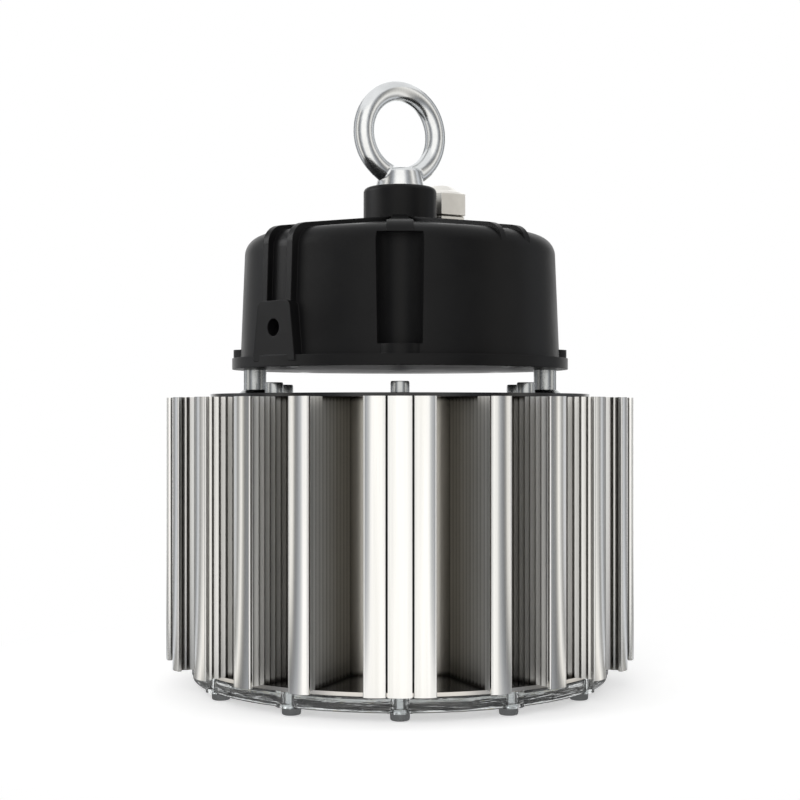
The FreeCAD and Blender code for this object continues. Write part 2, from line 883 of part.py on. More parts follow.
def runner():
    """The widening ridge from the crown over the front shoulder."""
    slab = make_body("runner_slab")
    sketch = upright_sketch(slab, FRONT)
    slope = "((dome_height - shoulder_height) / (shoulder_radius - crown_radius))"
    add_outline(sketch, [
        ("crown_radius - housing_wall", "dome_height + runner_rise"),
        ("crown_radius + 0.2 * (shoulder_radius - crown_radius)",
         "dome_height + runner_proud - %s * 0.2 * (shoulder_radius - crown_radius)" % slope),
        ("shoulder_radius + fit_clearance", "shoulder_height + runner_proud"),
        ("shoulder_radius + fit_clearance", RUNNER_FOOT),
        ("crown_radius - housing_wall", RUNNER_FOOT),
    ])
    pad(slab, sketch, "2 * runner_outer_half_width + housing_wall", middle=True)
    edge_level = "shoulder_height + runner_proud"

    def nose(edge):
        middle = edge.CenterOfMass
        return middle.y < -value("shoulder_radius") and abs(middle.z - value(edge_level)) < 1e-3

    round_edges(slab, nose, "shoulder_round")
    plan = make_body("runner_plan")
    sketch = flat_sketch(plan, RUNNER_FOOT)
    near, far = "-(crown_radius - housing_wall)", "-(shoulder_radius + housing_wall)"
    add_outline(sketch, [
        ("-runner_inner_half_width", near),
        ("-runner_outer_half_width", far),
        ("runner_outer_half_width", far),
        ("runner_inner_half_width", near),
    ])
    pad(plan, sketch, "crown_height - %s" % RUNNER_FOOT)
    return common("runner", slab, plan)


def upright_cylinders(label, radius, circle, angles, foot, height):
    """Separate cylinders of one size on a circle."""
    return [
        primitive("Cylinder", "%s_%d" % (label, number), (*polar(circle, angle), foot),
                  Radius=radius, Height=height)
        for number, angle in enumerate(angles)
    ]


def housing_cavity():
    """The hollow of the casting, with the recess walls, screw posts and gland seat left standing."""
    inner_wall = "(wall_foot_radius - housing_wall)"
    roof = "(shoulder_height - dome_wall)"
    room = turned("housing_room", [
        ("0", "driver_plate_thickness"),
        (inner_wall, "driver_plate_thickness"),
        ("shoulder_radius - housing_wall", "%s - shoulder_round / 2" % roof),
        ("shoulder_radius - housing_wall - shoulder_round / 2", roof),
        ("crown_radius", "dome_height - dome_wall"),
        ("0", "dome_height - dome_wall"),
    ], seam=CLEAR_SEAM)
    sides = (0, 90, 180, 270)
    kept = upright_cylinders("recess_wall", "recess_top_radius + housing_wall", "recess_circle",
                             sides, "0", "crown_height")
    kept += upright_cylinders("post", "post_radius", "post_circle", (45, 135, 225, 315),
                              "0", "post_height")
    kept.append(primitive("Cylinder", "gland_seat_core",
                          ("gland_x", "gland_y", "gland_seat_height - gland_seat_depth"),
                          Radius="gland_seat_radius", Height="gland_seat_depth"))
    kept.append(primitive("Cylinder", "crown_core",
                          ("0", "0", "crown_height - eye_thread_length - housing_wall - dome_wall"),
                          Radius="crown_radius", Height="crown_height"))
    return cut("housing_cavity", room, fuse("housing_kept", kept))


def radial_hole(label, angle, radius, reach, depth, height):
    """A cylinder that points outwards at the angle and ends at the reach."""
    item = primitive("Cylinder", label, (*polar("%s - %s" % (reach, depth), angle), height),
                     Radius=radius, Height="%s + housing_wall" % depth)
    item.Placement.Rotation = Rotation(UP, angle) * Rotation(Vector(0, 1, 0), 90)
    return item


def driver_housing():
    sides = (0, 90, 180, 270)
    solids = [housing_outside()]
    solids += upright_cylinders("foot_boss", "foot_boss_radius", "hanger_circle", sides,
                                "0", "foot_boss_height")
    for number, angle in enumerate(EAR_ANGLES):
        solids.append(ear("ear_%d" % number, angle))
        for hand in ("", "-"):
            label = "strap_%d_%s" % (angle, "right" if hand else "left")
            solids.append(strap(label, angle, hand + "strap_offset", "strap_proud",
                                "strap_wall_proud"))
    for angle in SHORT_STRAP_ANGLES:
        for hand in ("", "-"):
            label = "strap_%d_%s" % (angle, "right" if hand else "left")
            solids.append(strap(label, angle, hand + "strap_offset", "strap_proud",
                                "-strap_width / 4"))
    solids.append(runner())
    solids.append(primitive("Cylinder", "gland_seat",
                            ("gland_x", "gland_y", "gland_seat_height - gland_seat_depth"),
                            Radius="gland_seat_radius", Height="gland_seat_depth"))

    hollows = [housing_cavity()]
    recess_height = "(recess_top_height - foot_boss_height)"
    for number, angle in enumerate(sides):
        hollows.append(primitive("Cone", "recess_%d" % number,
                                 (*polar("recess_circle", angle), "foot_boss_height"),
                                 Radius1="recess_foot_radius", Radius2="recess_top_radius",
                                 Height=recess_height))
    hollows.append(primitive("Cylinder", "plate_rebate",
                             Radius="driver_plate_radius + hole_clearance",
                             Height="driver_plate_thickness"))
    seal = ring("seal_groove", "driver_seal_inner", "driver_seal_width", "driver_seal_height",
                "driver_plate_thickness")
    hollows.append(seal)
    hollows += upright_cylinders("hanger_thread", "hanger_bolt_radius", "hanger_circle", (0, 180),
                                 "0", "driver_plate_thickness + hanger_bite")
    hollows += upright_cylinders("post_thread", "plate_screw_shank", "post_circle",
                                 (45, 135, 225, 315), "0", "plate_screw_length")
    for number, angle in enumerate(EAR_ANGLES):
        hollows.append(radial_hole("ear_hole_%d" % number, angle, "ear_hole_radius", "ear_face",
                                   "ear_hole_depth", "flange_thickness + ear_hole_height"))
    hollows.append(primitive("Cylinder", "eye_thread",
                             ("0", "0", "crown_height - eye_thread_length"),
                             Radius="eye_thread_radius", Height="eye_thread_length"))
    hollows.append(primitive("Cylinder", "gland_hole",
                             ("gland_x", "gland_y", "gland_seat_height - gland_seat_depth"),
                             Radius="gland_thread_radius", Height="gland_seat_depth"))
    housing = cut("driver_housing", fuse("housing_solids", solids), fuse("housing_hollows", hollows))
    bind(housing, "Placement.Base.z", DRIVER_BOTTOM)
    return housing


def driver_base_plate():
    deep = "driver_plate_thickness"
    body = disc("driver_base_plate", "driver_plate_radius", deep, DRIVER_BOTTOM)
    drill(body, "hanger_bolt_radius + hole_clearance", "hanger_circle", 0, 2, deep, deep)
    sketch = upright_sketch(body, 45)
    sink = "(plate_screw_head - plate_screw_shank)"
    spread = [("0", "0"), ("plate_screw_head", "0"), ("plate_screw_shank", sink),
              ("plate_screw_shank", deep), ("0", deep)]
    add_outline(sketch, [("post_circle + (%s)" % x, y) for x, y in spread])
    feature = body.newObject("PartDesign::Groove", "plate_countersink")
    axis = sketch.addGeometry(Part.LineSegment(Vector(value("post_circle"), 0, 0),
                                               Vector(value("post_circle"), 1, 0)), True)
    fix_coordinate(sketch, "DistanceX", axis, 1, "post_circle")
    sketch.addConstraint(Sketcher.Constraint("Vertical", axis))
    feature.Profile = sketch
    feature.ReferenceAxis = (sketch, ["Axis0"])
    feature.Angle = 360
    doc.recompute()
    pattern(body, [feature], 4)
    return body


def driver_plate_screws():
    sink = "(plate_screw_head - plate_screw_shank)"
    return turned_set("driver_plate_screws", [
        ("0", "0"),
        ("plate_screw_head", "0"),
        ("plate_screw_shank", sink),
        ("plate_screw_shank", "plate_screw_length"),
        ("0", "plate_screw_length"),
    ], "post_circle", 45, 4, DRIVER_BOTTOM)


def driver_seal():
    return ring("driver_seal", "driver_seal_inner", "driver_seal_width", "driver_seal_height",
                "%s + driver_plate_thickness" % DRIVER_BOTTOM)


# ---------------------------------------------------------------- driver electronics


def circuit_board():
    deep = "circuit_thickness"
    body = disc("circuit_board", "circuit_radius", deep, CIRCUIT_BOTTOM)
    drill(body, "circuit_screw_shank", "standoff_circle", 45, 4, deep, deep)
    return body


def board_standoffs():
    return turned_set("board_standoffs", [
        ("circuit_screw_shank", "0"),
        ("standoff_radius", "0"),
        ("standoff_radius", "standoff_length"),
        ("circuit_screw_shank", "standoff_length"),
    ], "standoff_circle", 45, 4, "%s + driver_plate_thickness" % DRIVER_BOTTOM)


def circuit_screws():
    return turned_set("circuit_screws", [
        ("0", "-circuit_thickness - circuit_screw_bite"),
        ("circuit_screw_shank", "-circuit_thickness - circuit_screw_bite"),
        ("circuit_screw_shank", "0"),
        ("circuit_screw_head", "0"),
        ("circuit_screw_head", "circuit_screw_head_height"),
        ("0", "circuit_screw_head_height"),
    ], "standoff_circle", 45, 4, CIRCUIT_TOP)


def transformer_core():
    """A ferrite frame with a window on either side of its middle limb."""
    body = make_body("transformer_core", CIRCUIT_TOP)
    sketch = upright_sketch(body)
    half, limb = "core_side / 2", "core_limb / 2"
    add_outline(sketch, [("-%s" % half, "0"), (half, "0"), (half, "core_height"),
                         ("-%s" % half, "core_height")])
    for hand in ("", "-"):
        add_outline(sketch, [
            (hand + limb, limb),
            (hand + "(%s - %s)" % (half, limb), limb),
            (hand + "(%s - %s)" % (half, limb), "core_height - %s" % limb),
            (hand + limb, "core_height - %s" % limb),
        ])
    pad(body, sketch, "core_depth", middle=True)
    return body


def transformer_winding():
    """The coil about the middle limb."""
    body = make_body("transformer_winding", "%s + core_limb / 2" % CIRCUIT_TOP)
    sketch = flat_sketch(body)
    half, limb, depth = "winding_side / 2", "core_limb / 2", "core_depth / 2"
    add_outline(sketch, [("-%s" % half, "-%s" % half), (half, "-%s" % half), (half, half),
                         ("-%s" % half, half)])
    add_outline(sketch, [("-%s" % limb, "-%s" % depth), (limb, "-%s" % depth), (limb, depth),
                         ("-%s" % limb, depth)])
    pad(body, sketch, "core_height - core_limb")
    return body


def capacitors():
    body = make_body("capacitors", CIRCUIT_TOP)
    for hand in ("", "-"):
        sketch = flat_sketch(body)
        add_circle(sketch, "-standoff_circle / 2 - core_limb", hand + "capacitor_pitch / 2",
                   "capacitor_radius")
        pad(body, sketch, "capacitor_height")
        doc.recompute()
    return body


def choke():
    """A toroid that lies flat on the board."""
    return primitive("Torus", "choke",
                     ("standoff_circle / 2 + core_limb", "capacitor_pitch",
                      "%s + choke_wire" % CIRCUIT_TOP),
                     Radius1="choke_ring", Radius2="choke_wire")


def terminal_block():
    return primitive("Box", "terminal_block",
                     ("-terminal_length / 2", "standoff_circle / 2 + core_limb", CIRCUIT_TOP),
                     Length="terminal_length", Width="terminal_depth", Height="terminal_height")


# ---------------------------------------------------------------- eye bolt


def eye_bolt():
    """A ring on a conical collar, forged in one with its threaded shank."""
    loop = primitive("Torus", "eye_loop", ("0", "0", "eye_centre_height"),
                     Radius1="eye_inner_radius + eye_rod_radius", Radius2="eye_rod_radius")
    loop.Placement.Rotation = Rotation(UP, value("eye_turn")) * Rotation(Vector(1, 0, 0), 90)
    collar = primitive("Cone", "eye_collar", ("0", "0", "0"),
                       Radius1="collar_foot_radius", Radius2="collar_neck_radius",
                       Height="collar_height")
    shank = primitive("Cylinder", "eye_shank", ("0", "0", "-eye_thread_length"),
                      Radius="eye_thread_radius",
                      Height="eye_thread_length + collar_height / 2")
    bolt = fuse("eye_bolt", [loop, collar, shank])
    bind(bolt, "Placement.Base.z", CROWN_TOP)
    return bolt


# ---------------------------------------------------------------- cable gland


def hexagon(label, radius, height, x, y, z):
    """A hexagonal prism with a corner to the front."""
    item = primitive("Prism", label, (x, y, z), Circumradius=radius, Height=height)
    item.Polygon = 6
    item.Placement.Rotation = Rotation(UP, 30)
    return item


def at_gland(body):
    bind(body, "Placement.Base.x", "gland_x")
    bind(body, "Placement.Base.y", "gland_y")
    return body


def gland_washer():
    return at_gland(ring("gland_washer", "gland_thread_radius",
                         "gland_washer_radius - gland_thread_radius",
                         "gland_washer_thickness", GLAND_SEAT))


def gland_body():
    """The inlet: thread through the housing, hexagon, and an upper neck that takes the seal."""
    stem_foot = "-gland_washer_thickness - gland_seat_depth - locknut_height - hole_clearance"
    neck_top = "gland_hex_height + gland_neck_height"
    seal_floor = "gland_hex_height + gland_cap_gap"
    tube = turned("gland_tube", [
        ("gland_bore_radius", stem_foot),
        ("gland_thread_radius", stem_foot),
        ("gland_thread_radius", "gland_hex_height / 2"),
        ("gland_neck_radius", "gland_hex_height / 2"),
        ("gland_neck_radius", neck_top),
        ("gland_seal_radius", neck_top),
        ("gland_seal_radius", seal_floor),
        ("gland_bore_radius", seal_floor),
    ])
    nut = hexagon("gland_hexagon", "gland_hex_radius", "gland_hex_height", "0", "0", "0")
    bore = primitive("Cylinder", "gland_bore", Radius="gland_bore_radius",
                     Height="gland_hex_height")
    body = fuse("gland_body", [tube, cut("gland_nut", nut, bore)])
    bind(body, "Placement.Base.z", GLAND_HEX_BOTTOM)
    return at_gland(body)


def gland_cap():
    """The sealing nut: a hexagon with a domed top and a round mouth."""
    crown = turned("cap_crown", [
        ("gland_mouth_radius", "gland_cap_hex_height"),
        ("gland_cap_crown", "gland_cap_hex_height"),
        ("gland_cap_crown - 1", "gland_cap_hex_height + 0.4 * (gland_cap_height - gland_cap_hex_height)"),
        ("gland_cap_crown - 4", "gland_cap_hex_height + 0.85 * (gland_cap_height - gland_cap_hex_height)"),
        ("gland_mouth_radius + 1.5", "gland_cap_height"),
        ("gland_mouth_radius", "gland_cap_height"),
    ])
    skirt = hexagon("cap_hexagon", "gland_cap_radius", "gland_cap_hex_height", "0", "0", "0")
    seal_top = "gland_seal_length"
    neck_end = "gland_neck_height - gland_cap_gap + fit_clearance"
    room = turned("cap_room", [
        ("0", "0"),
        ("gland_neck_radius + fit_clearance", "0"),
        ("gland_neck_radius + fit_clearance", neck_end),
        ("gland_seal_radius + fit_clearance", neck_end),
        ("gland_seal_radius + fit_clearance", seal_top),
        ("gland_mouth_radius", seal_top),
        ("gland_mouth_radius", "gland_cap_height"),
        ("0", "gland_cap_height"),
    ])
    cap = cut("gland_cap", fuse("cap_solid", [crown, skirt]), room)
    bind(cap, "Placement.Base.z", "%s + gland_hex_height + gland_cap_gap" % GLAND_HEX_BOTTOM)
    return at_gland(cap)


def gland_seal():
    return at_gland(ring("gland_seal", "gland_seal_bore", "gland_seal_radius - gland_seal_bore",
                         "gland_seal_length",
                         "%s + gland_hex_height + gland_cap_gap" % GLAND_HEX_BOTTOM))


def gland_locknut():
    nut = hexagon("locknut_hexagon", "gland_hex_radius", "locknut_height", "0", "0", "0")
    hole = primitive("Cylinder", "locknut_hole", Radius="gland_thread_radius",
                     Height="locknut_height")
    item = cut("gland_locknut", nut, hole)
    bind(item, "Placement.Base.z", "%s - gland_seat_depth - locknut_height" % GLAND_SEAT)
    return at_gland(item)


# ---------------------------------------------------------------- build, check and write

NODES = [
    lens_cover, cover_screws, cover_seal, base_plate, thermal_pad, led_board, led_chips,
    board_screws, heat_sink, top_plate, top_plate_screws, hanger_bolts, hanger_washers,
    hanger_spacers, driver_housing, driver_base_plate, driver_plate_screws, driver_seal,
    circuit_board, board_standoffs, circuit_screws, transformer_core, transformer_winding,
    capacitors, choke, terminal_block, eye_bolt, gland_washer, gland_body, gland_cap,
    gland_seal, gland_locknut,
]

nodes = {}
for build in NODES:
    node = build()
    node.Label = build.__name__
    nodes[build.__name__] = node
doc.recompute()

for item in doc.Objects:
    if "Invalid" in item.State or "Error" in item.State:
        raise RuntimeError("%s is %s" % (item.Label, item.State))
for name, node in nodes.items():
    if node.Shape.isNull() or not node.Shape.isValid() or not node.Shape.Solids:
        raise RuntimeError("%s has no valid solid" % name)

os.makedirs("parts", exist_ok=True)
for name, node in nodes.items():
    node.Shape.exportStep("parts/%s.step" % name)
    box = node.Shape.BoundBox
    print("%-20s %3d solids %10.0f mm3  z %.2f to %.2f" % (
        name, len(node.Shape.Solids), node.Shape.Volume, box.ZMin, box.ZMax))
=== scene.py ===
import math

import bmesh
import bpy
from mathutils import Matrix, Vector


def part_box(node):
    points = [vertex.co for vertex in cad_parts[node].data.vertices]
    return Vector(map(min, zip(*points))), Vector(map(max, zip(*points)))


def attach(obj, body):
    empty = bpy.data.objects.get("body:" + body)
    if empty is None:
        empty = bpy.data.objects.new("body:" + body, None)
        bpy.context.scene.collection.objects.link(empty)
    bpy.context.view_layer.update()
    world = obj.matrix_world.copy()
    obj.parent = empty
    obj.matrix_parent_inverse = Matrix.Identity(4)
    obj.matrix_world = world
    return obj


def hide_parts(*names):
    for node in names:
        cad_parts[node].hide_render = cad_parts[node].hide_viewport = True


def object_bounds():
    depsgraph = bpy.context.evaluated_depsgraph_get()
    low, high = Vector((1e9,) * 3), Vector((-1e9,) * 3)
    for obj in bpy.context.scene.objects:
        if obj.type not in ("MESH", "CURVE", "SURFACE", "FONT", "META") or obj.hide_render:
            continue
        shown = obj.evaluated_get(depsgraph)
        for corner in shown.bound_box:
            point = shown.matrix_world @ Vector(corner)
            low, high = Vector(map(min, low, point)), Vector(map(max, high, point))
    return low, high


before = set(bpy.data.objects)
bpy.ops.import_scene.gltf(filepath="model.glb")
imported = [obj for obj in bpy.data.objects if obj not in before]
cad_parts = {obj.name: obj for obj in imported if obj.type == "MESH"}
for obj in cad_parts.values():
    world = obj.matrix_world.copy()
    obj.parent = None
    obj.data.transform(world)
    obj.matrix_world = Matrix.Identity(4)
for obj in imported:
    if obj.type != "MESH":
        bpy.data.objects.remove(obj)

cad_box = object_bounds()

MM = 0.001
FLOOR_GAP = 0.5 * MM
FLOOR_LEVEL = cad_box[0][2] - FLOOR_GAP

# ------------------------------------------------------------------ the photograph's camera

LENS_MM = 69.4
SENSOR_MM = 36.0
CAMERA_DISTANCE = 0.8834
CAMERA_HEIGHT = 0.155
SHIFT_Y = 0.0131

# ------------------------------------------------------------------ node helpers

BEVEL_SAMPLES = 6


class Nodes:
    """A short way to write a material's node tree."""

    def __init__(self, name):
        self.material = bpy.data.materials.new(name)
        self.material.use_nodes = True
        self.tree = self.material.node_tree
        self.shader = self.tree.nodes["Principled BSDF"]

    def add(self, kind, **settings):
        """A new node, with its settings and the numbers of its unlinked sockets."""
        node = self.tree.nodes.new("ShaderNode" + kind)
        for key, setting in settings.items():
            if hasattr(node, key):
                setattr(node, key, setting)
            else:
                node.inputs[key].default_value = setting
        return node

    def link(self, out_socket, in_socket):
        self.tree.links.new(out_socket, in_socket)

    def set(self, **settings):
        """Numbers and colours that are the same all over the surface."""
        for key, setting in settings.items():
            self.shader.inputs[key.replace("_", " ")].default_value = setting

    def math(self, operation, *terms):
        """The result of an operation on numbers and sockets."""
        node = self.add("Math", operation=operation)
        for socket, term in zip(node.inputs, terms):
            if isinstance(term, (int, float)):
                socket.default_value = term
            else:
                self.link(term, socket)
        return node.outputs[0]

    def coordinates(self, stretch=(1, 1, 1)):
        """Object coordinates, stretched by a factor along each axis."""
        place = self.add("TexCoord")
        mapping = self.add("Mapping")
        mapping.inputs["Scale"].default_value = stretch
        self.link(place.outputs["Object"], mapping.inputs["Vector"])
        return mapping.outputs["Vector"]

    def axis_distance(self):
        """How far a point is from the object's upright axis, in metres."""
        length = self.add("VectorMath", operation="LENGTH")
        self.link(self.coordinates((1, 1, 0)), length.inputs[0])
        return length.outputs["Value"]

    def noise(self, vector, scale, detail=3.0):
        node = self.add("TexNoise")
        node.inputs["Scale"].default_value = scale
        node.inputs["Detail"].default_value = detail
        self.link(vector, node.inputs["Vector"])
        return node.outputs["Fac"]

    def ramp(self, factor, low, high, start=0.3, end=0.7):
        """A colour that runs from low to high as the factor does."""
        node = self.add("ValToRGB")
        for element, position, shade in zip(node.color_ramp.elements, (start, end), (low, high)):
            element.position = position
            element.color = shade
        self.link(factor, node.inputs["Fac"])
        return node.outputs["Color"]

    def spread(self, factor, low, high, start=0.0, end=1.0):
        """A number that runs from low to high as the factor goes from start to end."""
        node = self.add("MapRange", interpolation_type="SMOOTHSTEP")
        for key, number in (("From Min", start), ("From Max", end), ("To Min", low), ("To Max", high)):
            node.inputs[key].default_value = number
        self.link(factor, node.inputs["Value"])
        return node.outputs["Result"]

    def multiply(self, first, second):
        """One colour times another."""
        node = self.add("Mix", data_type="RGBA", blend_type="MULTIPLY")
        node.inputs["Factor"].default_value = 1.0
        self.link(first, node.inputs["A"])
        self.link(second, node.inputs["B"])
        return node.outputs["Result"]

    def bump(self, height, distance, strength=1.0, edge=0.0):
        """A relief over the whole surface, and a small round on its sharp edges."""
        node = self.add("Bump")
        node.inputs["Distance"].default_value = distance
        node.inputs["Strength"].default_value = strength
        self.link(height, node.inputs["Height"])
        if edge:
            bevel = self.add("Bevel", samples=BEVEL_SAMPLES)
            bevel.inputs["Radius"].default_value = edge
            self.link(bevel.outputs["Normal"], node.inputs["Normal"])
        self.link(node.outputs["Normal"], self.shader.inputs["Normal"])


def colour(red, green, blue):
    return (red, green, blue, 1.0)


def grey(tone):
    return colour(tone, tone, tone)


# ------------------------------------------------------------------ materials

# painted shade: the heat sink's metal is darkest at the core and lightens outwards between the first
# two radii, and its roughness falls by WEB_DULLNESS between the last two, where the fins' tips begin
CORE_SHADE_RADIUS = 76 * MM
SHADE_END_RADIUS = 126 * MM
WEB_RADIUS = 120 * MM
TIP_RADIUS = 128 * MM
WEB_DULLNESS = 0.14
SHADED_CORE_METAL = colour(0.56, 0.54, 0.50)
BRIGHT_METAL = colour(0.80, 0.80, 0.79)
# the tone of the painted shade in the grooves between ribs and fins
PAINTED_GROOVE_SHADE = colour(0.14, 0.13, 0.12)
STREAK_METAL = colour(0.86, 0.86, 0.85)
# how far a groove's walls may stand apart and still get painted shade
GROOVE_REACH = 3.0 * MM
# coordinates squeezed along the extrusion draw a noise out into lines
DIE_LINES = (1.0, 1.0, 0.004)
DIE_STREAKS = (1.0, 1.0, 0.02)


def extruded_aluminium():
    """Bare extruded aluminium: die lines along its length; rougher between the fins and ribs, and
    darker there with painted shade towards the core and in the grooves.
    """
    n = Nodes("extruded_aluminium")
    n.set(Metallic=1.0)
    lines = n.noise(n.coordinates(DIE_LINES), scale=1100.0, detail=2.0)
    broad = n.noise(n.coordinates(DIE_STREAKS), scale=160.0)
    # painted shade: darker metal towards the core, where the valleys between the fins lie in shade
    core_shade_fade = n.spread(n.axis_distance(), 0.0, 1.0, CORE_SHADE_RADIUS, SHADE_END_RADIUS)
    metal = n.ramp(core_shade_fade, SHADED_CORE_METAL, BRIGHT_METAL, start=0.0, end=1.0)
    streaks = n.ramp(broad, STREAK_METAL, grey(1.0), start=0.35, end=0.65)
    # painted shade: ambient occlusion darkens the metal in the grooves between the fins' ribs
    occlusion = n.add("AmbientOcclusion", samples=8, Distance=GROOVE_REACH)
    groove_shade = n.ramp(occlusion.outputs["AO"], PAINTED_GROOVE_SHADE, grey(1.0), start=0.62, end=0.96)
    n.link(n.multiply(n.multiply(metal, streaks), groove_shade), n.shader.inputs["Base Color"])
    dull = n.spread(n.axis_distance(), WEB_DULLNESS, 0.0, WEB_RADIUS, TIP_RADIUS)
    rough = n.spread(lines, low=0.15, high=0.27)
    n.link(n.math("ADD", rough, dull), n.shader.inputs["Roughness"])
    n.bump(lines, distance=0.03 * MM, strength=0.3)
    return n.material


def powder_coat():
    """Satin black powder coat on a casting: a fine pebbled skin."""
    n = Nodes("black_powder_coat")
    place = n.coordinates()
    pebble = n.noise(place, scale=1400.0, detail=2.0)
    cloud = n.noise(place, scale=30.0)
    n.set(Specular_IOR_Level=0.14)
    n.link(n.ramp(cloud, colour(0.004, 0.004, 0.0043), colour(0.007, 0.007, 0.0073)),
           n.shader.inputs["Base Color"])
    n.link(n.spread(cloud, low=0.34, high=0.46), n.shader.inputs["Roughness"])
    n.bump(pebble, distance=0.08 * MM, strength=0.5, edge=0.7 * MM)
    return n.material


def gloss_black():
    """Sheet with a gloss black coat that is slightly wavy."""
    n = Nodes("gloss_black_sheet")
    place = n.coordinates()
    waviness = n.noise(place, scale=60.0, detail=2.0)
    n.link(n.ramp(waviness, colour(0.006, 0.006, 0.007), colour(0.011, 0.011, 0.012)),
           n.shader.inputs["Base Color"])
    n.link(n.spread(n.noise(place, scale=400.0), low=0.16, high=0.26), n.shader.inputs["Roughness"])
    n.bump(waviness, distance=0.05 * MM, strength=0.3, edge=0.3 * MM)
    return n.material


def one_sided_black():
    """Aluminium sheet, gloss black on the faces that look up and bare on its edge and underside."""
    n = Nodes("one_sided_black_sheet")
    place = n.coordinates()
    facing = n.add("SeparateXYZ")
    n.link(n.add("NewGeometry").outputs["Normal"], facing.inputs[0])
    bare = n.spread(facing.outputs["Z"], low=1.0, high=0.0, start=0.3, end=0.6)
    brushed = n.noise(n.coordinates((1.0, 1.0, 8.0)), scale=300.0, detail=2.0)
    black = colour(0.008, 0.008, 0.009)
    metal = colour(0.62, 0.60, 0.57)
    n.link(n.ramp(bare, black, metal, start=0.0, end=1.0), n.shader.inputs["Base Color"])
    n.link(bare, n.shader.inputs["Metallic"])
    n.link(n.spread(brushed, low=0.13, high=0.20), n.shader.inputs["Roughness"])
    n.bump(n.noise(place, scale=20.0, detail=1.0), distance=0.02 * MM, strength=0.2)
    return n.material


CLOUD_SHARE = 0.84


def bright_steel(name, tone, smooth, rough, tint, edge=0.25 * MM):
    """Plated metal: a cloudy lustre between two roughnesses, fine grain and softened edges."""
    n = Nodes(name)
    n.set(Metallic=1.0)
    place = n.coordinates()
    cloud = n.noise(place, scale=90.0, detail=4.0)
    grain = n.noise(place, scale=1800.0, detail=2.0)
    bright = [tone * part for part in tint]
    clouded = [CLOUD_SHARE * part for part in bright]
    n.link(n.ramp(cloud, colour(*clouded), colour(*bright)), n.shader.inputs["Base Color"])
    n.link(n.spread(cloud, smooth, rough), n.shader.inputs["Roughness"])
    n.bump(grain, distance=0.03 * MM, strength=0.4, edge=edge)
    return n.material


def clear_plastic():
    """Clear moulded polycarbonate with a slight haze and the soft streaks of its flow."""
    n = Nodes("clear_polycarbonate")
    n.set(IOR=1.585, Transmission_Weight=0.96, Base_Color=colour(0.93, 0.95, 0.95))
    flow = n.noise(n.coordinates((1.0, 1.0, 9.0)), scale=60.0, detail=2.0)
    n.link(n.spread(flow, low=0.01, high=0.06), n.shader.inputs["Roughness"])
    n.bump(flow, distance=1.2 * MM, strength=0.3)
    return n.material


ROUGHNESS_SWING = 0.15


def plain(name, low, high, roughness, grain=900.0, depth=0.04 * MM, metallic=0.0):
    """A moulded or coated surface that varies a little between two colours, with a fine grain."""
    n = Nodes(name)
    n.set(Metallic=metallic)
    place = n.coordinates()
    cloud = n.noise(place, scale=60.0)
    n.link(n.ramp(cloud, colour(*low), colour(*high)), n.shader.inputs["Base Color"])
    smoother = roughness * (1 - ROUGHNESS_SWING)
    rougher = roughness * (1 + ROUGHNESS_SWING)
    n.link(n.spread(n.noise(place, scale=200.0), smoother, rougher), n.shader.inputs["Roughness"])
    n.bump(n.noise(place, scale=grain), distance=depth, strength=0.5)
    return n.material


ALUMINIUM = extruded_aluminium()
COATING = powder_coat()
SHEET = gloss_black()
BASE_SHEET = one_sided_black()
STEEL = bright_steel("zinc_plated_steel", tone=0.55, smooth=0.18, rough=0.34,
                     tint=(0.96, 0.99, 1.0))
ZINC = bright_steel("zinc_plated_forging", tone=0.80, smooth=0.14, rough=0.28,
                    tint=(0.97, 0.99, 1.0), edge=0.6 * MM)
NICKEL = bright_steel("nickel_plated_brass", tone=0.86, smooth=0.24, rough=0.38,
                      tint=(1.0, 0.98, 0.93), edge=0.4 * MM)
CLEAR = clear_plastic()
RUBBER = plain("black_rubber", (0.012, 0.012, 0.012), (0.02, 0.02, 0.02), 0.75)
WHITE_BOARD = plain("white_board", (0.80, 0.80, 0.78), (0.86, 0.86, 0.84), 0.42)
PHOSPHOR = plain("led_phosphor", (0.80, 0.62, 0.10), (0.86, 0.70, 0.18), 0.35, grain=500.0)
PAD = plain("thermal_pad_grey", (0.42, 0.43, 0.45), (0.50, 0.51, 0.53), 0.8)
GREEN_BOARD = plain("green_board", (0.02, 0.16, 0.07), (0.03, 0.20, 0.09), 0.35)
FERRITE = plain("ferrite_black", (0.03, 0.03, 0.032), (0.05, 0.05, 0.052), 0.6)
COPPER = plain("copper_winding", (0.55, 0.22, 0.10), (0.66, 0.30, 0.14), 0.35,
               grain=1400.0, depth=0.1 * MM, metallic=1.0)
SLEEVE = plain("capacitor_sleeve_blue", (0.02, 0.03, 0.09), (0.03, 0.045, 0.12), 0.3)
TERMINAL = plain("terminal_green", (0.03, 0.22, 0.08), (0.045, 0.28, 0.11), 0.45)

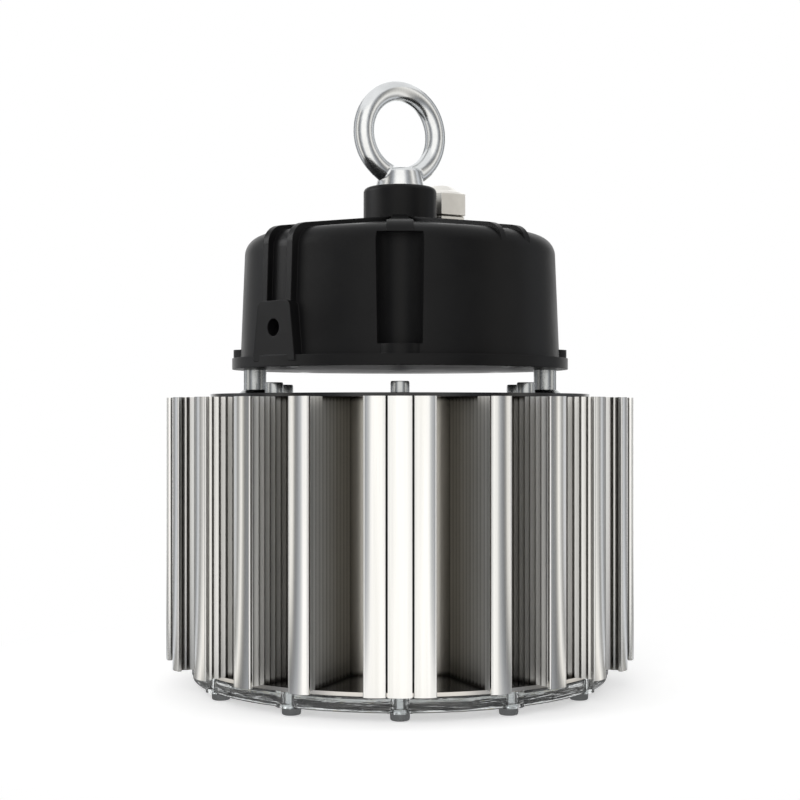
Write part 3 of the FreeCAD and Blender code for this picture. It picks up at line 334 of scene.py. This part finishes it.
FINISHES = {
    "lens_cover": CLEAR,
    "cover_screws": STEEL,
    "cover_seal": RUBBER,
    "base_plate": BASE_SHEET,
    "thermal_pad": PAD,
    "led_board": WHITE_BOARD,
    "led_chips": PHOSPHOR,
    "board_screws": STEEL,
    "heat_sink": ALUMINIUM,
    "top_plate": SHEET,
    "top_plate_screws": STEEL,
    "hanger_bolts": STEEL,
    "hanger_washers": STEEL,
    "hanger_spacers": STEEL,
    "driver_housing": COATING,
    "driver_base_plate": COATING,
    "driver_plate_screws": STEEL,
    "driver_seal": RUBBER,
    "circuit_board": GREEN_BOARD,
    "board_standoffs": STEEL,
    "circuit_screws": STEEL,
    "transformer_core": FERRITE,
    "transformer_winding": COPPER,
    "capacitors": SLEEVE,
    "choke": COPPER,
    "terminal_block": TERMINAL,
    "eye_bolt": ZINC,
    "gland_washer": RUBBER,
    "gland_body": NICKEL,
    "gland_cap": NICKEL,
    "gland_seal": RUBBER,
    "gland_locknut": NICKEL,
}

for node_name, finish in FINISHES.items():
    node_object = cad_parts[node_name]
    node_object.data.materials.clear()
    node_object.data.materials.append(finish)


# ------------------------------------------------------------------ mesh helpers

SEGMENTS = 48
KNURL_DEPTH = 0.12 * MM
WELD_DISTANCE = 1e-6


def make_object(name, mesh):
    item = bpy.data.objects.new(name, mesh)
    bpy.context.scene.collection.objects.link(item)
    return item


def mesh_of(name, grid):
    """A mesh with a grid's vertices and faces. The grid is freed."""
    mesh = bpy.data.meshes.new(name)
    grid.to_mesh(mesh)
    grid.free()
    return mesh


def finish_piece(name, grid, node, smooth_angle=35):
    """Make a piece that stands for a node and has the node's finish."""
    mesh = mesh_of(name, grid)
    item = make_object(name, mesh)
    mesh.materials.append(FINISHES[node])
    mesh.shade_smooth()
    mesh.set_sharp_from_angle(angle=math.radians(smooth_angle))
    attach(item, "root")
    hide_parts(node)
    return item


def solids_of(node):
    """The box of each separate solid in a node, as (low, high) corners."""
    grid = bmesh.new()
    grid.from_mesh(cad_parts[node].data)
    bmesh.ops.remove_doubles(grid, verts=grid.verts, dist=WELD_DISTANCE)
    waiting = set(grid.verts)
    boxes = []
    while waiting:
        island = []
        front = [waiting.pop()]
        while front:
            vertex = front.pop()
            island.append(vertex.co.copy())
            for link in vertex.link_edges:
                other = link.other_vert(vertex)
                if other in waiting:
                    waiting.remove(other)
                    front.append(other)
        boxes.append((Vector(map(min, zip(*island))), Vector(map(max, zip(*island)))))
    grid.free()
    return sorted(boxes, key=lambda box: (box[0].x, box[0].y))


def ring_radius(kind, radius, angle):
    """The radius at an angle of a round, hexagonal or knurled ring; a hexagon's is to its corners."""
    if kind == "hexagon":
        return radius * math.cos(math.pi / 6) / math.cos((angle % (math.pi / 3)) - math.pi / 6)
    if kind == "knurl":
        return radius - KNURL_DEPTH * (round(angle / (2 * math.pi) * SEGMENTS) % 2)
    return radius


def stack_rings(grid, rings, place, up=1, turn=0.0):
    """Skin a stack of (height, radius, kind) rings about an upright axis and close both ends."""
    loops = []
    for height, radius, kind in rings:
        loop = []
        for step in range(SEGMENTS):
            angle = 2 * math.pi * step / SEGMENTS
            reach = ring_radius(kind, radius, angle)
            loop.append(grid.verts.new((place[0] + reach * math.cos(angle + turn),
                                        place[1] + reach * math.sin(angle + turn),
                                        place[2] + up * height)))
        loops.append(loop)
    order = 1 if up > 0 else -1
    for lower, upper in zip(loops, loops[1:]):
        for step in range(SEGMENTS):
            after = (step + 1) % SEGMENTS
            corners = [lower[step], lower[after], upper[after], upper[step]]
            grid.faces.new(corners[::order])
    grid.faces.new(loops[0][::-order])
    grid.faces.new(loops[-1][::order])


# ------------------------------------------------------------------ socket-head screws

COVER_HEAD_HEIGHT = 6.0 * MM
PLATE_HEAD_HEIGHT = 6.2 * MM
SHANK_RADIUS = 3.0 * MM
HEAD_EDGE = 0.45 * MM
# the knurl ends this far from the line where the head's rounded top begins
KNURL_RUNOUT = 0.2 * HEAD_EDGE
# the socket's corner radius, as a share of the head's, and its tip's, as a share of the socket's
SOCKET_SHARE = 0.58
TIP_SHARE = 0.3


def socket_screws(name, node, head_height, head_down):
    """Knurled socket-head cap screws in the places of the node's plain ones."""
    grid = bmesh.new()
    for low, high in solids_of(node):
        radius = (high.x - low.x) / 2
        shank_end = head_height - (high.z - low.z)
        knurl_end = head_height - 2 * HEAD_EDGE
        socket = radius * SOCKET_SHARE
        socket_floor = head_height / 2
        rings = [
            (shank_end, SHANK_RADIUS - HEAD_EDGE, "round"),
            (shank_end + HEAD_EDGE, SHANK_RADIUS, "round"),
            (0, SHANK_RADIUS, "round"),
            (0, radius - HEAD_EDGE, "round"),
            (HEAD_EDGE / 2, radius, "knurl"),
            (knurl_end - KNURL_RUNOUT, radius, "knurl"),
            (knurl_end + KNURL_RUNOUT, radius - KNURL_DEPTH, "round"),
            (head_height - HEAD_EDGE / 2, radius - HEAD_EDGE / 2, "round"),
            (head_height, radius - 1.3 * HEAD_EDGE, "round"),
            (head_height, socket + HEAD_EDGE, "round"),
            (head_height - HEAD_EDGE, socket, "hexagon"),
            (socket_floor, socket, "hexagon"),
            (socket_floor - HEAD_EDGE, socket * TIP_SHARE, "round"),
        ]
        middle = (low + high) / 2
        seat = low.z + head_height if head_down else high.z - head_height
        stack_rings(grid, rings, (middle.x, middle.y, seat), -1 if head_down else 1)
    finish_piece(name, grid, node)


socket_screws("cover_cap_screws", "cover_screws", COVER_HEAD_HEIGHT, head_down=True)
socket_screws("top_plate_cap_screws", "top_plate_screws", PLATE_HEAD_HEIGHT, head_down=False)

# ------------------------------------------------------------------ eye bolt

EYE_TURN = math.radians(33)
EYE_INNER = 18.3 * MM
EYE_ROD = 6.05 * MM
# the eye's height over the collar's seat: to its top, and to the ring's centre
EYE_TOP = 62.1 * MM
EYE_CENTRE = 30.8 * MM
# the collar's heights over its seat and radii, in millimetres
COLLAR = ((0.0, 14.2), (5.0, 13.2), (9.3, 12.2), (10.6, 11.0), (11.2, 8.0))
THREAD_RADIUS = 6.0 * MM
THREAD_OVERLAP = 5.0 * MM
RING_SEGMENTS = 120
ROD_SEGMENTS = 40
FORGING_VOXEL = 0.5 * MM
FORGING_SMOOTHINGS = 8
FORGING_SMOOTH_ANGLE = 80


def eye_forging():
    """The ring, collar and shank blended into one forging."""
    low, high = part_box("eye_bolt")
    seat = high[2] - EYE_TOP
    bpy.ops.mesh.primitive_torus_add(
        major_radius=EYE_INNER + EYE_ROD,
        minor_radius=EYE_ROD,
        major_segments=RING_SEGMENTS,
        minor_segments=ROD_SEGMENTS,
        location=(0, 0, seat + EYE_CENTRE),
        rotation=(math.pi / 2, 0, EYE_TURN),
    )
    ring = bpy.context.object
    bpy.ops.object.transform_apply(location=True, rotation=True)
    grid = bmesh.new()
    grid.from_mesh(ring.data)
    bpy.data.objects.remove(ring)
    collar = [(height * MM, radius * MM, "round") for height, radius in COLLAR]
    thread = [(low[2] - seat, THREAD_RADIUS, "round"), (THREAD_OVERLAP, THREAD_RADIUS, "round")]
    stack_rings(grid, collar, (0, 0, seat))
    stack_rings(grid, thread, (0, 0, seat))
    item = finish_piece("eye_forging", grid, "eye_bolt", FORGING_SMOOTH_ANGLE)
    remesh = item.modifiers.new("blend", "REMESH")
    remesh.mode = "VOXEL"
    remesh.voxel_size = FORGING_VOXEL
    remesh.use_smooth_shade = True
    soften = item.modifiers.new("soften", "SMOOTH")
    soften.factor = 0.5
    soften.iterations = FORGING_SMOOTHINGS


eye_forging()

# ------------------------------------------------------------------ gland cap

CAP_CORNER = 16.4 * MM
CAP_MOUTH = 4.8 * MM
CAP_LIP = 0.6 * MM
CAP_SKIRT = 1.4 * MM
# how far the cap's top lies below the plain solid's
CAP_SINK = 1.2 * MM
# depths below the cap's top: of the flats' upper ends, then of its crown with its radii, in millimetres
CAP_SIDE = 5.7 * MM
CAP_CROWN = ((4.4, 13.4), (3.6, 11.0), (3.3, 10.2), (0.9, 7.2), (0.3, 6.2), (0.0, 5.4))
CAP_TURN = math.radians(30)
CAP_SMOOTH_ANGLE = 9


def gland_cap():
    """A hexagonal cap nut with a chamfered top, a conical crown and an open mouth."""
    low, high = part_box("gland_cap")
    middle = ((low[0] + high[0]) / 2, (low[1] + high[1]) / 2, low[2])
    top = high[2] - low[2] - CAP_SINK
    flat = CAP_CORNER * math.cos(math.pi / 6)
    rings = [
        (CAP_LIP, CAP_MOUTH, "round"),
        (0, flat - 2 * CAP_LIP, "round"),
        (-CAP_SKIRT, flat - CAP_LIP, "round"),
        (CAP_LIP - CAP_SKIRT, CAP_CORNER, "hexagon"),
        (top - CAP_SIDE, CAP_CORNER, "hexagon"),
    ]
    rings += [(top - depth * MM, radius * MM, "round") for depth, radius in CAP_CROWN]
    rings += [(top - CAP_LIP, CAP_MOUTH, "round"), (top / 2, CAP_MOUTH, "round")]
    grid = bmesh.new()
    stack_rings(grid, rings, middle, turn=CAP_TURN)
    finish_piece("gland_cap_nut", grid, "gland_cap", CAP_SMOOTH_ANGLE)


gland_cap()

# ------------------------------------------------------------------ studio

# what bare metal sees around it: degrees from the front, tone, and warmth (+) or coolness (-)
CARDS = (
    (0, 1.00, 0.5),
    (23, 1.00, 0.4),
    (29, 0.60, 0.0),
    (36, 0.40, -0.6),
    (42, 0.28, -0.8),
    (50, 0.17, -0.5),
    (57, 0.20, 0.3),
    (64, 0.52, 0.8),
    (71, 1.00, 0.8),
    (79, 0.74, 0.2),
    (87, 0.30, 0.6),
    (95, 0.24, 0.5),
    (100, 0.62, -0.3),
    (109, 0.66, -0.6),
    (115, 0.34, -0.6),
    (123, 0.28, -0.4),
    (132, 0.18, 0.0),
    (140, 0.32, 0.2),
    (146, 0.70, 0.2),
    (152, 1.00, 0.0),
    (180, 1.00, 0.0),
)
CARD_STRENGTH = 1.3
# what full warmth adds to a card's red and takes from its blue
WARM_RED = 0.04
WARM_BLUE = 0.07
# the card's size: its hole round the axis, its reach from the axis, its floor and its top
CARD_INNER = 2 * MM
CARD_REACH = 1.5
CARD_FLOOR = FLOOR_LEVEL + 0.2 * MM
CARD_TOP = 1.6
CARD_STEPS = 180
# the floor card has one dark tone close to the object and turns to the cards' own between two radii
NEAR_CARD = 0.16
NEAR_CARD_RADIUS = 0.13
FULL_CARD_RADIUS = 0.20

# the floor's own tone, what lifts it to a pale grey, and the radii between which it turns white
FLOOR_TONE = 0.80
FLOOR_LIFT = 0.52
FLOOR_NEAR_RADIUS = 0.15
FLOOR_WHITE_RADIUS = 0.30
FLOOR_HALF_WIDTH = 3.0

# how strongly the white world lights matt surfaces
WORLD_LIGHT = 0.5

# each lamp's name, place, width, height and power, and the nodes it lights, or none for all of them
LAMPS = (
    ("front_light", (-0.3, -1.8, 0.9), 1.0, 1.0, 9, ()),
    ("left_light", (-1.6, -0.9, 0.6), 0.9, 1.4, 12, ()),
    ("right_light", (1.7, -0.3, 0.6), 0.9, 1.4, 5, ()),
    ("casting_light", (-1.5, 0.1, 0.5), 0.7, 1.2, 15, ("driver_housing", "driver_base_plate")),
)


def seen_directly(n):
    """1 for the rays that see a backdrop: from the camera, off gloss and through glass."""
    path = n.add("LightPath")
    shiny = n.math("MAXIMUM", path.outputs["Is Glossy Ray"], path.outputs["Is Transmission Ray"])
    return n.math("MAXIMUM", path.outputs["Is Camera Ray"], shiny)


def floor_white():
    """A pale matt floor that keeps the shadow near the object and turns plain white further out."""
    n = Nodes("floor_white")
    n.set(Base_Color=grey(FLOOR_TONE), Roughness=0.9)
    direct = seen_directly(n)
    lift = n.add("Emission")
    n.link(n.math("MULTIPLY", direct, FLOOR_LIFT), lift.inputs["Strength"])
    near = n.add("AddShader")
    n.link(n.shader.outputs[0], near.inputs[0])
    n.link(lift.outputs[0], near.inputs[1])
    white = n.add("Emission")
    mix = n.add("MixShader")
    far = n.spread(n.axis_distance(), 0.0, 1.0, FLOOR_NEAR_RADIUS, FLOOR_WHITE_RADIUS)
    n.link(n.math("MULTIPLY", far, direct), mix.inputs[0])
    n.link(near.outputs[0], mix.inputs[1])
    n.link(white.outputs[0], mix.inputs[2])
    n.link(mix.outputs[0], n.tree.nodes["Material Output"].inputs["Surface"])
    return n.material


def card_paper():
    """Soft light and dark cards, by the direction they stand in from the object."""
    n = Nodes("studio_cards")
    n.tree.nodes.remove(n.shader)
    place = n.add("SeparateXYZ")
    n.link(n.coordinates(), place.inputs[0])
    behind = n.math("MULTIPLY", place.outputs["Y"], -1.0)
    angle = n.math("ABSOLUTE", n.math("ARCTAN2", place.outputs["X"], behind))
    ramp = n.add("ValToRGB")
    n.link(n.math("DIVIDE", angle, math.pi), ramp.inputs["Fac"])
    elements = ramp.color_ramp.elements
    for number, (degrees, tone, warmth) in enumerate(CARDS):
        element = elements[number] if number < 2 else elements.new(degrees / 180)
        element.position = degrees / 180
        element.color = colour(tone * (1 + WARM_RED * warmth), tone, tone * (1 - WARM_BLUE * warmth))
    out = n.spread(n.axis_distance(), 0.0, 1.0, NEAR_CARD_RADIUS, FULL_CARD_RADIUS)
    near = n.add("Mix", data_type="RGBA")
    n.link(out, near.inputs["Factor"])
    near.inputs["A"].default_value = grey(NEAR_CARD)
    n.link(ramp.outputs["Color"], near.inputs["B"])
    glow = n.add("Emission", Strength=CARD_STRENGTH)
    n.link(near.outputs["Result"], glow.inputs["Color"])
    n.link(glow.outputs[0], n.tree.nodes["Material Output"].inputs["Surface"])
    return n.material


def cards():
    """A floor card and a ring of upright cards around the object, which only reflections see."""
    profile = [(CARD_INNER, CARD_FLOOR), (CARD_REACH, CARD_FLOOR), (CARD_REACH, CARD_TOP)]
    corners = []
    for radius, height in profile:
        for step in range(CARD_STEPS):
            angle = 2 * math.pi * step / CARD_STEPS
            corners.append((radius * math.sin(angle), -radius * math.cos(angle), height))
    faces = []
    for row in range(len(profile) - 1):
        below = row * CARD_STEPS
        above = below + CARD_STEPS
        for step in range(CARD_STEPS):
            after = (step + 1) % CARD_STEPS
            faces.append((below + step, below + after, above + after, above + step))
    mesh = bpy.data.meshes.new("studio_cards")
    mesh.from_pydata(corners, [], faces)
    mesh.materials.append(card_paper())
    item = make_object("studio_cards", mesh)
    for ray in ("camera", "diffuse", "transmission", "volume_scatter", "shadow"):
        setattr(item, "visible_" + ray, False)


def area_light(name, place, width, height, power, only):
    """A lamp that faces the object's middle and lights all of it, or the named nodes alone."""
    data = bpy.data.lights.new(name, "AREA")
    data.shape = "RECTANGLE"
    data.size = width
    data.size_y = height
    data.energy = power
    item = bpy.data.objects.new(name, data)
    bpy.context.scene.collection.objects.link(item)
    item.location = place
    aim = Vector((0, 0, CAMERA_HEIGHT)) - Vector(place)
    item.rotation_euler = aim.to_track_quat("-Z", "Y").to_euler()
    item.visible_glossy = bool(only)
    if only:
        receivers = bpy.data.collections.new(name + "_receivers")
        for node in only:
            receivers.objects.link(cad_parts[node])
        item.light_linking.receiver_collection = receivers


def floor():
    """A wide floor just below the object."""
    half = FLOOR_HALF_WIDTH
    corners = [(-half, -half), (half, -half), (half, half), (-half, half)]
    mesh = bpy.data.meshes.new("floor")
    mesh.from_pydata([(x, y, FLOOR_LEVEL) for x, y in corners], [], [(0, 1, 2, 3)])
    mesh.materials.append(floor_white())
    make_object("floor", mesh)


def white_world():
    """A world that is white to look at and dimmer as a light on matt surfaces."""
    world = bpy.data.worlds.new("studio")
    world.use_nodes = True
    bpy.context.scene.world = world
    back = world.node_tree.nodes["Background"]
    back.inputs["Color"].default_value = grey(1.0)
    path = world.node_tree.nodes.new("ShaderNodeLightPath")
    level = world.node_tree.nodes.new("ShaderNodeMapRange")
    level.inputs["To Min"].default_value = 1.0
    level.inputs["To Max"].default_value = WORLD_LIGHT
    world.node_tree.links.new(path.outputs["Is Diffuse Ray"], level.inputs["Value"])
    world.node_tree.links.new(level.outputs["Result"], back.inputs["Strength"])


def camera():
    """The photograph's camera: level, straight in front of the object."""
    data = bpy.data.cameras.new("photo_camera")
    data.lens = LENS_MM
    data.sensor_width = SENSOR_MM
    data.sensor_fit = "HORIZONTAL"
    data.shift_y = SHIFT_Y
    item = bpy.data.objects.new("photo_camera", data)
    bpy.context.scene.collection.objects.link(item)
    item.location = (0, -CAMERA_DISTANCE, CAMERA_HEIGHT)
    item.rotation_euler = (math.pi / 2, 0, 0)
    bpy.context.scene.camera = item


floor()
cards()
white_world()
for lamp in LAMPS:
    area_light(*lamp)
camera()
bpy.context.scene.view_settings.view_transform = "Standard"
